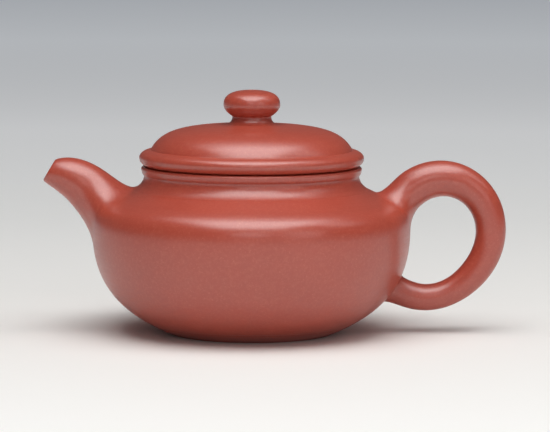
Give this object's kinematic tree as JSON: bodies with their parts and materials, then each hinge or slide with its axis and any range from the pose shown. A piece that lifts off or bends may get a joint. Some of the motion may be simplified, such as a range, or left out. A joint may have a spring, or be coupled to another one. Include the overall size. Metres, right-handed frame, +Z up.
{
  "type": "yixing clay teapot",
  "caption": "Squat unglazed red clay teapot with a domed lift-off lid, button knob, short curved spout and ring handle.",
  "frame": {"origin": "on the pot's turning axis, in the plane of the foot that it stands on", "axes": "+Z up along the axis of the body and the lid, +X from the axis towards the handle, so the spout points to -X"},
  "size_m": [0.1462, 0.1006, 0.0768],
  "materials": {
    "red_clay": "unglazed, burnished satin",
    "inner_clay": "unglazed, matte, not burnished"
  },
  "bodies": {
    "pot": {"base_disc": "red_clay", "body_wall": "red_clay", "neck_collar": "red_clay", "mouth_ring": "red_clay", "spout_strainer": "inner_clay", "spout": "red_clay", "handle": "red_clay"},
    "lid_seat": {"lid_flange": "inner_clay"},
    "lid": {"lid_rim": "red_clay", "lid_dome": "red_clay", "knob": "red_clay"}
  },
  "joints": [
    {"name": "lid_lift", "type": "slide", "parent": "pot", "child": "lid_seat", "axis": [0, 0, 1], "range_m": [0, 0.045]},
    {"name": "lid_turn", "type": "hinge", "parent": "lid_seat", "child": "lid", "pos_m": [0, 0, 0.0528], "axis": [0, 0, 1], "continuous": true}
  ]
}
